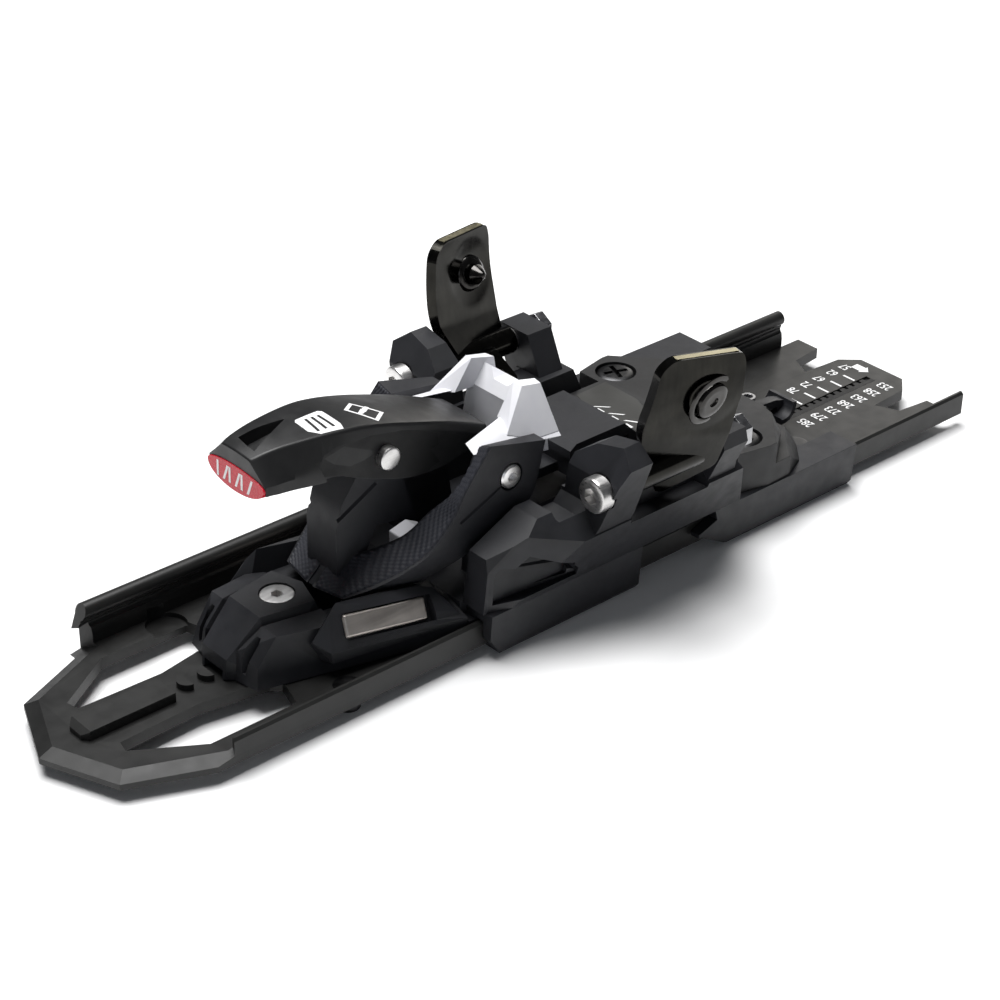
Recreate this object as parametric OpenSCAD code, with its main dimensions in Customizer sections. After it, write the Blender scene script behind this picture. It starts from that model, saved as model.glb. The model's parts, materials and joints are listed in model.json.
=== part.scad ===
// Touring binding: a pin-type toe unit on a long base plate with a sole-length scale.
// Drawing frame: X runs to the heel, Y across the ski, Z up, z = 0 on the top face of
// the base plate and y = 0 on its centre line. place() moves it to the part's own frame.

/* [Base plate] */
// Length from the pointed nose to the end of the near lip
plate_l = 275; // [272:1:280]
// Width between the two long edges of the plate
plate_w = 54.8; // [54.4:0.1:55]
// Thickness of the plate
plate_t = 3; // [2.5:0.1:3.2]
// Height of the tall far rail above the plate
rail_h = 10.5; // [10:0.1:10.5]
// Height of the low near lip above the plate
lip_h = 3.5; // [3:0.1:3.5]
// Diameter of a mounting stud's shank
stud_d = 6; // [5:0.1:7]
// Distance between the two front studs, across the ski
front_stud_gap = 46; // [44:0.5:46]
// Distance between the two rear studs, across the ski
rear_stud_gap = 26; // [24:0.5:28]

/* [Sole length scale] */
// Pitch of the rack notches
pitch = 5.33; // [5:0.01:5.4]
// Number of rack notches
notches = 11; // [9:1:11]

/* [Jaws] */
// Gap between the pin tips when the jaws are closed
boot_gap = 60; // [60:0.1:60.6]
// Angle that each jaw opens, as drawn
open_deg = 14; // [12:0.5:14]
// Distance of a jaw axle from the centre line
axle_y = 35.5; // [35:0.1:36]
// Height of the jaw axles
axle_z = 31; // [30.8:0.1:31.2]
// Diameter of a jaw axle
axle_d = 6; // [5.6:0.1:6]
// Diameter of the straight part of a boot pin
pin_d = 5.2; // [5:0.1:5.4]

/* [Yoke and lever] */
// Diameter of the yoke pivot screws
pivot_d = 5; // [4.6:0.1:5]
// Width of the lever over its side walls
lever_w = 22; // [21:0.1:22]
// Diameter of the lever pin
lever_pin_d = 5.6; // [5:0.1:6]

/* [Hidden] */
$fn = 48;

run = 0.05;        // radial clearance of a shaft that turns or slides in a hole
gap = 0.3;         // clearance between moving faces
nose_x = -90;      // tip of the plate
rear_x = nose_x + plate_l;
half_w = plate_w / 2;
foot_z = 6.2;      // height of the plate's top face above the floor
mid_x = nose_x + plate_l / 2;

pivot = [26.5, 0, 33.7];       // yoke pivot
lever_axis = [-1.1, 0, 44.4];  // lever pin
pawl_axis = [122, 0, 6.4];     // pawl pin
jaw_x = [50.6, 75.4];          // ends of a jaw sleeve
pin_at = [66.4, 0, axle_z + 20.1];  // boot pin, jaws closed
tick_x = 140.5;                // rack notch under the pawl
lug_in = 11.4;                 // inner face of a pivot lug
lug_out = 15.8;                // outer face of a pivot lug
arm_in = 16.1;                 // inner face of a yoke arm at the pivot
arm_out = 20.6;                // outer face of a yoke arm at the pivot

// Moves a sub-part from the drawing frame to the part's frame.
module place() {
    translate([-mid_x, 0, foot_z]) children();
}

module both_sides() {
    children();
    mirror([0, 1, 0]) children();
}

// Outline in X and Z, extruded along Y.
module side_prism(outline, y0, y1) {
    translate([0, y1, 0]) rotate([90, 0, 0]) linear_extrude(y1 - y0) polygon(outline);
}

// Outline in X and Y, extruded along Z.
module plan_prism(outline, z0, z1) {
    translate([0, 0, z0]) linear_extrude(z1 - z0) polygon(outline);
}

// Outline in Y and Z, extruded along X.
module cross_prism(outline, x0, x1) {
    translate([x0, 0, 0]) rotate([90, 0, 90]) linear_extrude(x1 - x0) polygon(outline);
}

module lateral_rod(x, z, r, y0, y1) {
    translate([x, y0, z]) rotate([-90, 0, 0]) cylinder(h = y1 - y0, r = r);
}

module long_rod(y, z, r, x0, x1) {
    translate([x0, y, z]) rotate([0, 90, 0]) cylinder(h = x1 - x0, r = r);
}

// Solid between two loops of as many points, each loop counter-clockwise from above.
module loft(lower, upper) {
    n = len(lower);
    polyhedron(
        points = concat(lower, upper),
        faces = concat(
            n == 4 ? [[0, 1, 2], [0, 2, 3], [6, 5, 4], [7, 6, 4]]
                : [[for (i = [0:n - 1]) i], [for (i = [n - 1:-1:0]) n + i]],
            [for (i = [0:n - 1]) each [[i, n + i, n + (i + 1) % n],
                                       [i, n + (i + 1) % n, (i + 1) % n]]]));
}

function level(outline, z) = [for (p = outline) [p.x, p.y, z]];
function mirrored(outline) = [for (i = [len(outline) - 1:-1:0]) [outline[i].x, -outline[i].y]];

// ---------------------------------------------------------------- base plate

near_edge = [[nose_x, 0], [-82, -19], [-62.5, -half_w], [rear_x, -half_w], [rear_x, -25.6],
    [rear_x - 4.5, -25.6], [rear_x - 6, -24], [rear_x - 6, -20], [rear_x - 16, -19],
    [rear_x - 19, -12.6], [rear_x - 6.5, -11.8], [rear_x - 1.6, -7.5]];
far_edge = [[rear_x - 1.6, 7.5], [rear_x - 6.5, 11.8], [rear_x - 19, 12.6],
    [rear_x - 16, 19], [rear_x - 6, 20], [rear_x - 6, half_w], [-62.5, half_w], [-82, 19]];
window = [[-75.4, 11.5], [-74.6, 8.2], [-53, 7.5], [-36.2, 10.4], [-34, 12.2], [-36.8, 21.2],
    [-60, 21.2]];

// Cutter for a bevel along the plate edge from p to q, with the plate on its left.
module bevel(p, q, w, h) {
    length = norm(q - p);
    translate([p.x, p.y, -h]) rotate([0, 0, atan2(q.y - p.y, q.x - p.x)])
        rotate([atan(h / w), 0, 0]) translate([-4, -4, 0]) cube([length + 8, 16, 6]);
}

module rail() {
    r = 2;
    difference() {
        union() {
            cross_prism([[half_w, -plate_t], [half_w + 3.4, -plate_t],
                [half_w + 3.4, rail_h - r], [half_w + 1, rail_h - r], [half_w, 2.6]], -62.5, 172);
            long_rod(half_w + 1.6, rail_h - r, r, -62.5, 172);
        }
        side_prism([[-63, 0], [-58.8, rail_h + 1], [-63, rail_h + 1]], half_w - 5, half_w + 6);
        long_rod(half_w - 0.4, 5.4, 1.3, -63, 173);
    }
}

module lip() {
    difference() {
        cross_prism([[-half_w, -1], [-25.6, -1], [-25.6, lip_h - 0.6], [-26.2, lip_h],
            [0.6 - half_w, lip_h], [-half_w, lip_h - 0.6]], -61.5, rear_x);
        side_prism([[-62, 0], [-59.8, lip_h + 1], [-62, lip_h + 1]], -half_w - 1, -25);
    }
}

module stud_places() {
    for (side = [-1, 1]) {
        translate([-24, side * front_stud_gap / 2, 0]) children();
        translate([134, side * rear_stud_gap / 2, 0]) children();
    }
}

module base_plate() {
    color("#26272b") place() difference() {
        union() {
            plan_prism(concat(near_edge, far_edge), -plate_t, 0);
            rail();
            lip();
            difference() {
                plan_prism([[-80.6, -2.2], [-79.2, -3.7], [-56.8, -3.7], [-56.8, 3.7],
                    [-79.2, 3.7], [-80.6, 2.2]], -1, 2.4);
                side_prism([[-82, 0.4], [-78, 3], [-82, 3]], -5, 5);
            }
            for (x = [-51.2, -45.6]) intersection() {
                translate([x, 0, -1]) cylinder(h = 2.6, r = 2.5);
                translate([x - 3, -3, -1]) cube([3, 6, 3]);
            }
        }
        both_sides() {
            plan_prism(window, -plate_t - 1, 1);
            bevel(near_edge[0], near_edge[1], 3.2, 1.5);
            bevel(near_edge[1], near_edge[2], 3.2, 1.5);
        }
        translate([-41, half_w - 4.4, -1.2]) cylinder(h = 4, r = 5);
        translate([112, -3.2, -2.4]) cube([65, 3.2, 3]);
        stud_places() translate([0, 0, -plate_t - 1]) cylinder(h = plate_t + 2, d = stud_d);
    }
}

// Steel strip with one notch for each sole length.
module length_rack() {
    color("#0c0c0e") place() difference() {
        translate([112, -3.2, -2.4]) cube([65, 3.2, 2.4]);
        for (k = [0:notches - 1])
            translate([tick_x + (k - 4) * pitch - 1.3, -2.4, -1.6]) cube([2.6, 3, 2]);
    }
}

// Four riveted studs under the plate, which drop into the keyholes of the ski's rail.
module base_studs() {
    color("#2d2e33") place() stud_places() rotate_extrude()
        polygon([[0, -foot_z], [2.2, -foot_z], [stud_d / 2, -5.6], [stud_d / 2, -4.2], [2.2, -3.9],
            [2.2, -3.4], [stud_d / 2, -3.2], [stud_d / 2, -0.2], [0, -0.2]]);
}

// ------------------------------------------------------------------ carriage

hook_in = half_w + gap;       // inner face of the near hooks
rail_in = half_w - 2 * gap;            // face beside the rail
rail_out = half_w + 3.4 + gap + 0.1;  // inner face of the far hooks
flange_z = [-5.9, -plate_t - gap];
slab_z = [gap, 3.5];

hook_section = [[-25.3, slab_z[0]], [-25.3, lip_h + gap], [-hook_in, lip_h + gap],
    [-hook_in, flange_z[1]], [-24, flange_z[1]], [-24, flange_z[0]], [-29.2, flange_z[0]],
    [-30.2, -4.6], [-31, 6.5], [-22, 6.5], [-22, slab_z[1]], [22, slab_z[1]], [22, 13.5],
    [rail_out + 2.8, 13.5], [rail_out + 2.8, -4.6], [rail_out + 1.4, flange_z[0]],
    [24, flange_z[0]], [24, flange_z[1]], [rail_out, flange_z[1]],
    [rail_out, rail_h + gap], [rail_in, rail_h + gap], [rail_in, slab_z[0]]];
slab_section = [[-25.3, slab_z[0]], [rail_in, slab_z[0]], [rail_in, 8], [22, 8],
    [22, slab_z[1]], [-25.3, slab_z[1]]];

// Lower frame: rides on the plate and hooks under its edges in two places on each side.
module slide_frame() {
    color("#202126") place() difference() {
        union() {
            cross_prism(slab_section, 10, 128);
            cross_prism(hook_section, 12, 60);
            cross_prism(hook_section, 80, 137);
            both_sides() translate([118, 6.4, slab_z[1] - 1]) cube([8, 3, 6.6]);
        }
        side_prism([[79, 0.2], [81, 0.2], [92, flange_z[0] - 0.2], [79, flange_z[0] - 0.2]], -40, 40);
        side_prism([[11, 0.2], [11.6, 0.2], [16, flange_z[0] - 0.2], [11, flange_z[0] - 0.2]], -40, 40);
        plan_prism([[126, -13], [131, -20.5], [150, -20.5], [150, 20.5], [126, 20.5]], -1, 20);
        lateral_rod(pawl_axis.x, pawl_axis.z, 1.5, -10, 10);
        translate([110, -1.8, -1]) cube([20, 3.6, 3]);
        translate([56.2, 15, 7]) cube([10.8, 10, 10]);
        both_sides() translate([86, 24, slab_z[1]]) rotate([0, -20, 0])
            translate([-12, -4, 0]) cube([12, 20, 20]);
    }
}

nose_plan = [[-44.4, -3], [-43.4, -6], [-41.2, -12.5], [-30.7, -15.4], [-3, -22.8],
    [9.8, -25.2]];
nose_side = [[-44.5, 2.4], [-44.2, 9], [-36.4, 13], [-18, 13], [-14, 8.4], [9.8, 8.4],
    [9.8, 0.3], [-41, 0.3]];
// Shoulder beside the pivot arms: it holds the steel plates.
shoulder_low = [[-28, -16.4, 3.4], [9.8, -25.2, 3.4], [9.8, -15, 3.4], [-28, -10, 3.4]];
shoulder_top = [[-24, -16.8, 14.8], [7, -18, 10.2], [7, -15.2, 10.2], [-21, -13.6, 14.8]];

plate_place = [-8.5, -19.2, 9.6];   // middle of a steel plate's outer face
plate_turn = [-32, 9, -4];         // it leans inwards, and falls to the rear

// Slot for a side plate, or the plate itself if shrink is the clearance around it.
module steel_slot(shrink, thick) {
    size = [23.2 - 2 * shrink, thick, 6 - 2 * shrink];
    translate(plate_place) rotate(plate_turn) translate([-size.x / 2, 0, -size.z / 2]) cube(size);
}

module nose_block() {
    color("#1f2024") place() difference() {
        union() {
            intersection() {
                plan_prism(concat(nose_plan, mirrored(nose_plan)), 0, 20);
                union() {
                    side_prism(nose_side, -9.6, 9.6);
                    both_sides() loft(
                        level([[-41, -13], [-37.6, -25.4], [9.8, -25.4], [9.8, 0], [-41, 0]], 0.3),
                        level([[-36, -9], [-33, -13], [9.8, -16], [9.8, 0], [-36, 0]], 8.4));
                }
            }
            both_sides() loft(shoulder_low, shoulder_top);
        }
        translate([-60, -3.4, -1]) cube([27, 6.8, 3.4]);
        both_sides() {
            steel_slot(0, 1.4);
            translate(plate_place) rotate(plate_turn) translate([-11.6, -6, -3])
                cube([23.2, 6.01, 6]);
        }
        translate([-25.8, 0, 13]) rotate_extrude()
            polygon([[0, -12], [2.2, -12], [2.2, -2.2], [4.1, -0.3], [4.1, 0.1], [0, 0.1]]);
    }
}

module nose_screw() {
    color("#c9ccd0") place() translate([-25.8, 0, 13]) difference() {
        rotate_extrude()
            polygon([[0, -12], [2.2, -12], [2.2, -2.2], [4.1, -0.3], [4.1, 0.1], [0, 0.1]]);
        translate([0, 0, -1.8]) cylinder(h = 3, r = 1.5, $fn = 6);
    }
}

module side_plates() {
    color("#b4b3b0") place() both_sides() steel_slot(0.3, 1.4);
}

wall_section = [[-21.6, 6.5], [-31, 6.5], [-36.6, 20.4], [-30, 27], [-22.4, 27]];
wall_side = [[11, 6.5], [12.5, 20.4], [26, 27], [50, 27], [50, 24], [86, 24], [93.6, 6.5]];
wall_plan = [[10, -29], [12.5, -29], [24, -33], [36, -36.8], [95, -36.8], [95, -20], [10, -20]];
cheek_section = [[-22.4, 20], [-25, 36.6], [-30.4, 40.4], [-38, 42], [-42.6, 38.4], [-37.4, 23],
    [-36, 20]];
rear_cheek_section = [[-22.4, 20], [-29, 34.4], [-39.6, 34.4], [-40.6, 31], [-35.5, 20]];

axle_end = 84;   // rear face of the rear cheeks, where the axle nuts sit

// Near wall with the two cheeks that hold an axle.
module wall() {
    intersection() {
        cross_prism(wall_section, 11, 94);
        side_prism(wall_side, -40, -20);
        plan_prism(wall_plan, 6, 28);
    }
    intersection() {
        cross_prism(cheek_section, 36, 50);
        side_prism([[38.4, 19], [40.6, 34], [45, 42], [50, 42], [50, 19]], -46, -20);
    }
    intersection() {
        cross_prism(rear_cheek_section, 76, 86);
        side_prism([[76, 19], [76, 35], [axle_end, 35], [axle_end, 24], [86, 19]], -48, -20);
    }
}

module pivot_lug() {
    difference() {
        union() {
            side_prism([[19, 3.5], [37, 3.5], [32.4, 31.6], [22, 35.2]], -lug_out, -lug_in);
            lateral_rod(pivot.x, pivot.z, 4.8, -lug_out, -lug_in);
        }
        lateral_rod(pivot.x, pivot.z, pivot_d / 2, -lug_out - 1, -lug_in + 1);
    }
}

// Main housing: side walls, axle cheeks, pivot lugs and the bridge over the toggle.
module housing() {
    color("#222329") place() difference() {
        union() {
            both_sides() {
                wall();
                pivot_lug();
            }
            plan_prism([[10, -21.9], [81.8, -21.9], [81.8, 21.9], [10, 21.9]], 3.5, 7.2);
            side_prism([[54, 23.8], [54, 26], [56, 27.4], [72, 27.4], [81.8, 18], [81.8, 7],
                [73.4, 7], [73.4, 23.8]], -11, 11);
        }
        translate([5, 21.95, 0]) cube([100, 20, 13.5]);
        both_sides() {
            long_rod(axle_y, axle_z, axle_d / 2, 30, 90);
            long_rod(axle_y, axle_z, 4.6, 30, 41.4);
            long_rod(axle_y, axle_z, 5.6, 50, 76);
            side_prism([[10, 10], [22, 19.6], [35, 13.4], [35, 9]], -36, -29.4);
            translate([62, -5.6, 23]) cylinder(h = 2.6, r = 2.9);
            translate([jaw_x[0] - 0.4, -50, 19.2]) cube([25.6, 18.6, 10]);
        }
        translate([50, -21.6, 7.2]) cube([26, 43.2, 12]);
        translate([56.4, -29.6, 7.2]) cube([10.2, 59.2, 17.3]);
    }
}

deck_foot = [[82, -21.4], [94.3, -21.4], [94.3, -28.6], [104, -30.6], [112, -30.4], [124, -25.2],
    [125.6, -14]];
deck_corner = -42;   // direction in which the deck's rear corners slope

// Deck behind the jaws: a cover with a sloped rear over the frame.
module deck_cover() {
    color("#26272c") place() difference() {
        plan_prism(concat(deck_foot, mirrored(deck_foot)), 6.5, 18);
        side_prism([[117.6, 18.1], [125.8, 6.4], [130, 6.4], [130, 19], [117.6, 19]], -40, 40);
        both_sides() rotate([0, 0, deck_corner])
            side_prism([[99.3, 18.1], [107, 6.4], [120, 6.4], [120, 19], [99.3, 19]], 0, 160);
        translate([80, 21.95, 0]) cube([60, 20, 13.5]);
        translate([117, -6.4, 0]) cube([20, 12.8, 30]);
        translate([116, -9.7, 0]) cube([11, 19.4, 10.4]);
        both_sides() translate([101.6, -22.6, 0]) {
            translate([0, 0, 16]) cylinder(h = 8, r = 5.4);
            translate([0, 0, 13.6]) cylinder(h = 3, r = 2.6);
        }
    }
}

module deck_screws() {
    color("#1b1c20") place() both_sides() translate([101.6, -22.6, 0]) difference() {
        union() {
            translate([0, 0, 16]) cylinder(h = 2, r = 5);
            translate([0, 0, 13.6]) cylinder(h = 2.6, r = 2.6);
        }
        for (turn = [0, 90]) rotate([0, 0, turn]) translate([-3.4, -0.6, 17]) cube([6.8, 1.2, 2]);
    }
}

// Steel axles of the two jaws, with a driven head at the front.
module jaw_axles() {
    color("#c6c4bd") place() both_sides() difference() {
        union() {
            long_rod(axle_y, axle_z, axle_d / 2, 38, axle_end);
            long_rod(axle_y, axle_z, 4.4, 37.4, 41.4);
        }
        translate([36, axle_y, axle_z]) rotate([0, 90, 0]) cylinder(h = 3.4, r = 2.1, $fn = 6);
    }
}

module axle_nuts() {
    color("#b9b7b0") place() both_sides() difference() {
        translate([axle_end, axle_y, axle_z]) rotate([0, 90, 0]) cylinder(h = 3, r = 4.4, $fn = 6);
        long_rod(axle_y, axle_z, 1.6, 85.5, 90);
    }
}

// Two screws that the yoke turns on. They are fixed in the lugs of the housing.
module yoke_screws() {
    color("#cfcdc6") place() both_sides() difference() {
        union() {
            lateral_rod(pivot.x, pivot.z, pivot_d / 2, -arm_out + 1.6, -lug_in);
            lateral_rod(pivot.x, pivot.z, 2.9, -arm_out - 0.4, -arm_out + 1.6);
        }
        translate([pivot.x, -arm_out - 1, pivot.z]) rotate([-90, 0, 0])
            cylinder(h = 2, r = 1.5, $fn = 6);
    }
}

// White stop that the back of the lever reaches in the walk position.
module walk_stop() {
    color("#f2f2f0") place()
        side_prism([[12, 7.2], [20.5, 7.2], [20.5, 11.6], [17, 13.6], [12, 12.4]], -6.5, 6.5);
}

// -------------------------------------------------------------------- toggle

toggle_top = 23.5;
toggle_low = 18.3;

// Sliding block that presses the inner arms of both jaws down.
module toggle_block() {
    color("#1a1b1e") place() difference() {
        union() {
            plan_prism([[54.6, -15], [70, -15], [70, 15], [54.6, 15]], toggle_low, toggle_top);
            plan_prism([[43.5, -6], [55, -6], [55, 6], [43.5, 6]], toggle_low, 21);
        }
        both_sides() translate([62, -5.6, toggle_low + 1.2]) cylinder(h = 10, r = 2.9);
    }
}

// Two pressure springs between the bridge and the toggle block.
module toggle_springs() {
    wire = 0.6;
    turns = 5;
    rise = 1.1;
    height = 25.6 - toggle_low - 1.2;   // from the pocket's floor to the bridge
    color("#8d8f93") place() both_sides() translate([62, -5.6, toggle_low + 1.2])
        difference() {
            cylinder(h = height, r = 2.6);
            translate([0, 0, -1]) cylinder(h = height + 2, r = 2.6 - 2 * wire);
            for (k = [0:turns - 1]) translate([0, 0, 1 + k * rise]) difference() {
                cylinder(h = rise / 2, r = 3);
                translate([0, 0, -1]) cylinder(h = rise + 2, r = 2.6 - wire);
            }
        }
}

// ---------------------------------------------------------------- yoke, lever

arm_top = [[21.8, -arm_out, 44], [37.2, -arm_out, 39.4], [37.2, -arm_in, 39.4],
    [21.8, -arm_in, 44]];
arm_pivot = [[13, -arm_out, 34], [33.4, -arm_out, 26.4], [33.4, -arm_in, 26.4],
    [11.6, -arm_in, 33]];
arm_mid = [[1, -18.6, 22.4], [13, -19.6, 16.4], [13, -arm_in, 16], [-0.6, -12.4, 22.8]];
arm_low = [[-15.4, -11, 13], [-4, -12, 10], [-4, -6, 10], [-14, -6, 16.4]];

post = [[-13.4, 13], [-5, 12], [-1, 24.6], [10.4, 22.4], [7, 36], [2.6, 43], [-4.6, 45.4],
    [-10.6, 35], [-13.2, 27]];

module yoke_arm() {
    difference() {
        union() {
            loft(arm_pivot, arm_top);
            loft(arm_mid, arm_pivot);
            loft(arm_low, arm_mid);
        }
        lateral_rod(pivot.x, pivot.z, pivot_d / 2 + run, -arm_out - 1, -arm_in + 1);
        lateral_rod(pivot.x, pivot.z, 3.1, -arm_out - 1, -arm_out + 1.9);
    }
}

// Two arms joined by a cross bar at the front, and a post up to the lever pin.
module yoke_frame() {
    color("#1e1f23") place() difference() {
        union() {
            both_sides() yoke_arm();
            side_prism([[-15.4, 12.6], [-4, 10], [-4, 14.6], [-13.4, 16.6]], -10.6, 10.6);
            side_prism(post, -5.4, 5.4);
            lateral_rod(lever_axis.x, lever_axis.z, 4.6, -7.6, 7.6);
        }
        lateral_rod(lever_axis.x, lever_axis.z, lever_pin_d / 2, -12, 12);
    }
}

insert_side = [[19, 40.6], [30, 39.2], [46, 35.4], [46.4, 40.6], [44.8, 46.6], [42, 48.6],
    [38, 47.8], [28, 43.6]];

// White two-lobed saddle between the arms, with the heel that works the toggle.
module yoke_insert() {
    color("#f4f4f2") place() difference() {
        union() {
            both_sides() side_prism(insert_side, -arm_in, -lug_in);
            both_sides() side_prism([[37.6, 30], [46, 28], [46, 40], [37.6, 40]], -arm_in, -lug_in);
            side_prism([[38.4, 30], [46, 28], [46.2, 42.6], [40.6, 41.6]], -12, 12);
            side_prism([[44, 22.4], [49.4, 21.4], [49.6, 24], [46, 30], [41, 31]], -5.4, 5.4);
        }
        both_sides() side_prism([[30, 52], [48, 52], [48, 43], [36, 43]], -10.8, -7);
    }
}

module lever_pin() {
    half = lever_w / 2;
    color("#cfcfcb") place() lateral_rod(lever_axis.x, lever_axis.z, lever_pin_d / 2, -half, half);
}

lever_side = [[-37.4, 52.4], [-33, 55.6], [-26, 56.6], [-16, 56.4], [-6, 54.8], [3, 52.2],
    [13, 48.4], [22, 44.8], [29.6, 41.2], [29, 38.4], [14, 37.4], [4, 38.4], [-8, 41.6],
    [-16, 44.6], [-34.4, 47.6]];
lever_hollow = [[-27, 44], [-27, 51], [-16, 53.2], [-6, 51.6], [3, 49.4], [13, 45.4],
    [22, 41.8], [31, 37.6], [31, 30], [-6, 30]];
lever_plan = [[-42, -9.8], [-34, -10.9], [8, -10.9], [31, -10.4], [31, 10.4], [8, 10.9],
    [-34, 10.9], [-42, 9.8]];

module lever_shell() {
    color("#202126") place() difference() {
        intersection() {
            side_prism(lever_side, -lever_w / 2, lever_w / 2);
            plan_prism(lever_plan, 30, 60);
        }
        side_prism(lever_hollow, -8.2, 8.2);
        lateral_rod(lever_axis.x, lever_axis.z, lever_pin_d / 2 + run, -20, 20);
        side_prism([[-35, 52], [-29, 54.6], [-20, 60], [-35, 60]], 1, 7.6);
    }
}

module lever_end_badge() {
    color("#c8202c") place()
        side_prism([[-38.3, 51.2], [-37.5, 52.2], [-34.5, 47.5], [-35.2, 46.9]], -8, 8);
}

// ---------------------------------------------------------------------- jaws

jaw_plate = [[50.6, 28.4], [57.6, 20.8], [60.4, 20.8], [75.4, 30], [75.2, 36], [72.6, 43],
    [73.4, 52], [74.8, 61.2], [72.4, 63.4], [55.6, 60.2], [48.6, 46.4], [50.6, 42.4]];

// Turns a far-side shape of the closed jaw to the open position.
module opened() {
    translate([0, axle_y, axle_z]) rotate([-open_deg, 0, 0]) translate([0, -axle_y, -axle_z])
        children();
}

module pin_line() {
    translate([pin_at.x, 0, pin_at.z]) rotate([-90, 0, 0]) children();
}

module jaw() {
    opened() difference() {
        union() {
            long_rod(axle_y, axle_z, 5, jaw_x[0], jaw_x[1]);
            translate([pin_at.x, 37.4, 0]) rotate([0, 0, 11]) translate([-pin_at.x, -37.4, 0])
                side_prism(jaw_plate, 35.9, 39);
            cross_prism([[35, 27], [35, 33], [29, 32], [22.4, 26], [20.2, 13], [15.6, 12.6],
                [15.6, 8.2], [23.6, 8.2], [26.2, 22.6]], 57, 66);
            long_rod(15.6, 10.4, 2.2, 57, 66);
        }
        long_rod(axle_y, axle_z, axle_d / 2 + run, 40, 90);
        pin_line() cylinder(h = 60, r = 4.8);
    }
}

// Boot pin: riveted disc, collar, straight shank and cone.
module jaw_pin() {
    tip = boot_gap / 2;
    opened() pin_line() rotate_extrude()
        polygon([[0, tip], [0.9, tip], [pin_d / 2, tip + 2.8], [pin_d / 2, tip + 4.8],
            [4, tip + 4.8], [4.8, tip + 5.6], [4.8, tip + 10.4], [4, tip + 11], [0, tip + 11]]);
}

module near_jaw() {
    color("#6d675c") place() mirror([0, 1, 0]) jaw();
}

module near_jaw_pin() {
    color("#3c3a38") place() mirror([0, 1, 0]) jaw_pin();
}

module far_jaw() {
    color("#6d675c") place() jaw();
}

module far_jaw_pin() {
    color("#3c3a38") place() jaw_pin();
}

// ---------------------------------------------------------------------- pawl

// Sprung pawl whose tip points at the sole length on the scale.
module length_pawl() {
    color("#17181b") place() difference() {
        side_prism([[119.4, 4.6], [119, 8.4], [124, 9.2], [132, 7], [138, 7], [144.6, 10.6],
            [145.4, 9.4], [141.8, 5.6], [141.4, 0.4], [139.8, 0.4], [138.8, 4.4], [127, 3.9]],
            -5.8, 5.8);
        lateral_rod(pawl_axis.x, pawl_axis.z, 1.5 + run, -10, 10);
        both_sides() translate([136, 1.5, -1]) cube([12, 6, 5]);
    }
}

module pawl_pin() {
    color("#9a9a98") place() lateral_rod(pawl_axis.x, pawl_axis.z, 1.5, -9.4, 9.4);
}

module pawl_spring() {
    color("#8d8f93") place() translate([128.6, 0, 9.6]) difference() {
        cylinder(h = 1, r = 2);
        translate([0, 0, -1]) cylinder(h = 3, r = 1.2);
    }
}

base_plate();
length_rack();
base_studs();
slide_frame();
nose_block();
nose_screw();
side_plates();
housing();
deck_cover();
deck_screws();
jaw_axles();
axle_nuts();
yoke_screws();
walk_stop();
toggle_block();
toggle_springs();
yoke_frame();
yoke_insert();
lever_pin();
lever_shell();
lever_end_badge();
near_jaw();
near_jaw_pin();
far_jaw();
far_jaw_pin();
length_pawl();
pawl_pin();
pawl_spring();
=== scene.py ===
"""Looks of a pin-type touring binding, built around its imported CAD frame.

Shapes are drawn in the part's drawing frame, in millimetres: X to the heel, Y across,
Z up from the top face of the base plate. TO_PART moves them to the frame.
"""
import json
import math

import bmesh
import bpy
from mathutils import Euler, Matrix, Vector
from mathutils.bvhtree import BVHTree

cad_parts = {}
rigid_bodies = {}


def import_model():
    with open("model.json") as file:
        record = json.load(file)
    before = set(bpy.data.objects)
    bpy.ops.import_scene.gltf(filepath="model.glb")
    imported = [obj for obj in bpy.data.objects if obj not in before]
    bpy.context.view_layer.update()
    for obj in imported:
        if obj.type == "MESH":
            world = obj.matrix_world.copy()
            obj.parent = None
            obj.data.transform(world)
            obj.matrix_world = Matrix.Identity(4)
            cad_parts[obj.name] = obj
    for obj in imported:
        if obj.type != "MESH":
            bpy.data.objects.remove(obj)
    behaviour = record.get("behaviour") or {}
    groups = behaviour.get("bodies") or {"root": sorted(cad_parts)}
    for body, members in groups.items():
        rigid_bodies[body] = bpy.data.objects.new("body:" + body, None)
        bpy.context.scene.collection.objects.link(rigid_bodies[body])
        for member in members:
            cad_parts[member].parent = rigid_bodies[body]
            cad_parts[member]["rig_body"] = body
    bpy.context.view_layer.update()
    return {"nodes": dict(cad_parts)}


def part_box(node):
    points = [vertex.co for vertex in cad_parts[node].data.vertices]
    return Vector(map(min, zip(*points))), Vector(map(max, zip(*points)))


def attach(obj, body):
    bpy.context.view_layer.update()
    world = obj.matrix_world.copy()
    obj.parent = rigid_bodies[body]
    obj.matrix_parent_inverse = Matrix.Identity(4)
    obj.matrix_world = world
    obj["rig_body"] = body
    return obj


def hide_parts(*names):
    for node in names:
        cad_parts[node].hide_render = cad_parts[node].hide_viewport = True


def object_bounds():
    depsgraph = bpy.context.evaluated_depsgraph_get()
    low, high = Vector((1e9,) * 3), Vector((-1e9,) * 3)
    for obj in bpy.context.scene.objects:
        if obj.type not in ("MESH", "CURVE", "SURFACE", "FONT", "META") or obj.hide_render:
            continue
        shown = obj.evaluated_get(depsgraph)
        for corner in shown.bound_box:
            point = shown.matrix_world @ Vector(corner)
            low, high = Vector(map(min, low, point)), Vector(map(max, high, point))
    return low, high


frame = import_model()

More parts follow.
